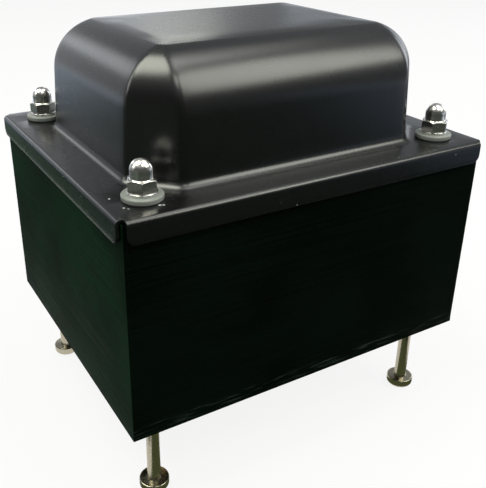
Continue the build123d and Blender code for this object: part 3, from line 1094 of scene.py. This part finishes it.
# Surround, a dome behind the lamps that only mirrors show, as they show the walls of a room: dim and a
# little blue, bright low behind the object, nearly dark in front of it. Lengths in metres, turns in degrees.
SURROUND_RADIUS = 2.4
SURROUND_LIFT = 0.004
SURROUND_STEP = 10
SURROUND_HIGHEST = 89.9
SURROUND_LEVEL = 0.30
SURROUND_TINT = (0.96, 1.0, 1.06)
BACK_LEVEL = 1.6
BACK_TURN, BACK_SPREAD, BACK_HEIGHT = 86.0, (15.0, 29.0), (12.0, 23.0)
FRONT_LEVEL = 0.07
FRONT_TURN, FRONT_SPREAD, FRONT_HEIGHT = -125.0, (55.0, 95.0), (22.0, 50.0)


def seen_ray(nodes, links):
    """1 for the rays that the eye, a mirror or clear plastic sends out, and 0 for those that carry light."""
    path = nodes.new("ShaderNodeLightPath")
    shown = path.outputs["Is Camera Ray"]
    for name in ("Is Glossy Ray", "Is Transmission Ray"):
        either = nodes.new("ShaderNodeMath")
        either.operation = "MAXIMUM"
        links.new(shown, either.inputs[0])
        links.new(path.outputs[name], either.inputs[1])
        shown = either.outputs[0]
    return shown


def floor_finish():
    """White to the eye and to what mirrors it, where it also keeps a share of the shadow that falls on it."""
    floor = Shader("floor", (FLOOR_GREY, FLOOR_GREY, FLOOR_GREY), 1.0, specular=0.0)
    seen = seen_ray(floor.nodes, floor.links)
    share = floor.combine("MULTIPLY", seen, 1.0 - FLOOR_SHADOW_SHARE)
    white = floor.node("ShaderNodeEmission").outputs[0]
    mixed = floor.node("ShaderNodeMixShader", i0=share, i1=floor.shader.outputs[0], i2=white)
    floor.links.new(mixed.outputs[0], floor.nodes["Material Output"].inputs["Surface"])
    return floor.material


def make_floor():
    mesh = bpy.data.meshes.new("floor")
    half = FLOOR_SIZE / 2
    corners = [(-half, -half, 0), (half, -half, 0), (half, half, 0), (-half, half, 0)]
    mesh.from_pydata(corners, [], [(0, 1, 2, 3)])
    mesh.materials.append(floor_finish())
    floor = new_object("floor", mesh)


def make_world():
    """White to the eye and to reflections, and a dim even light on the object."""
    world = bpy.data.worlds.new("world")
    bpy.context.scene.world = world
    world.use_nodes = True
    nodes = world.node_tree.nodes
    links = world.node_tree.links
    nodes.clear()
    strength = nodes.new("ShaderNodeMapRange")
    links.new(seen_ray(nodes, links), strength.inputs[0])
    strength.inputs[3].default_value = WORLD_LEVEL
    strength.inputs[4].default_value = 1.0
    sky = nodes.new("ShaderNodeBackground")
    sky.inputs["Color"].default_value = (1.0, 1.0, 1.0, 1.0)
    links.new(strength.outputs[0], sky.inputs["Strength"])
    out = nodes.new("ShaderNodeOutputWorld")
    links.new(sky.outputs[0], out.inputs["Surface"])


def glow(name, points, faces, colours):
    """Make a mesh that has a colour at each point, and show it only to rays that mirrors send out."""
    mesh = bpy.data.meshes.new(name)
    mesh.from_pydata(points, [], faces)
    shades = mesh.color_attributes.new("glow", "FLOAT_COLOR", "POINT")
    for point, colour in enumerate(colours):
        shades.data[point].color = (*colour, 1.0)
    shine = Shader(name, (0.0, 0.0, 0.0), 0.5, specular=0.0)
    shade = shine.node("ShaderNodeVertexColor")
    shade.layer_name = "glow"
    shine.set("Emission Color", shade.outputs["Color"])
    shine.set("Emission Strength", 1.0)
    mesh.materials.append(shine.material)
    item = new_object(name, mesh)
    item.visible_camera = False
    item.visible_diffuse = False
    item.visible_transmission = False
    item.visible_volume_scatter = False
    item.visible_shadow = False


def nearness(turn, middle, spread):
    """1 near a direction and 0 far from it, in degrees round the object."""
    away = abs((turn - middle + 180.0) % 360.0 - 180.0)
    return 1.0 - ease(away, *spread)


def surround_shade(turn, rise):
    """Colour of the surround in a direction: turn and rise in degrees."""
    back = nearness(turn, BACK_TURN, BACK_SPREAD) * (1.0 - ease(rise, *BACK_HEIGHT))
    front = nearness(turn, FRONT_TURN, FRONT_SPREAD) * (1.0 - ease(rise, *FRONT_HEIGHT))
    level = SURROUND_LEVEL + (BACK_LEVEL - SURROUND_LEVEL) * back + (FRONT_LEVEL - SURROUND_LEVEL) * front
    # The dark in front has no tint
    return tuple(level * (1.0 + (tint - 1.0) * (1.0 - front)) for tint in SURROUND_TINT)


def make_surround():
    rises = range(0, 90 + SURROUND_STEP, SURROUND_STEP)
    turns = range(0, 360, SURROUND_STEP)
    points = []
    shades = []
    for rise in rises:
        flat = SURROUND_RADIUS * math.cos(math.radians(min(rise, SURROUND_HIGHEST)))
        level = SURROUND_RADIUS * math.sin(math.radians(rise)) + SURROUND_LIFT
        for turn in turns:
            angle = math.radians(turn)
            points.append((flat * math.cos(angle), flat * math.sin(angle), level))
            shades.append(surround_shade(turn, rise))
    faces = []
    for row in range(len(rises) - 1):
        faces += band(row * len(turns), (row + 1) * len(turns), len(turns))
    glow("surround", points, faces, shades)


def make_lamp(name, place, size, power, colour):
    """Soft square lamp aimed at the middle of the object."""
    lamp = bpy.data.lights.new(name, "AREA")
    lamp.size = size
    lamp.energy = power
    lamp.color = colour
    holder = new_object(name, lamp)
    holder.location = place
    aim = LAMP_AIM - holder.location
    holder.rotation_euler = aim.to_track_quat("-Z", "Y").to_euler()


place_camera()
make_floor()
make_world()
for name, lamp in LAMPS.items():
    make_lamp(name, *lamp)
for name, (corners, colours) in CARDS.items():
    glow(name, corners, [(0, 1, 2, 3)], colours)
make_surround()
bpy.context.scene.view_settings.view_transform = "Standard"
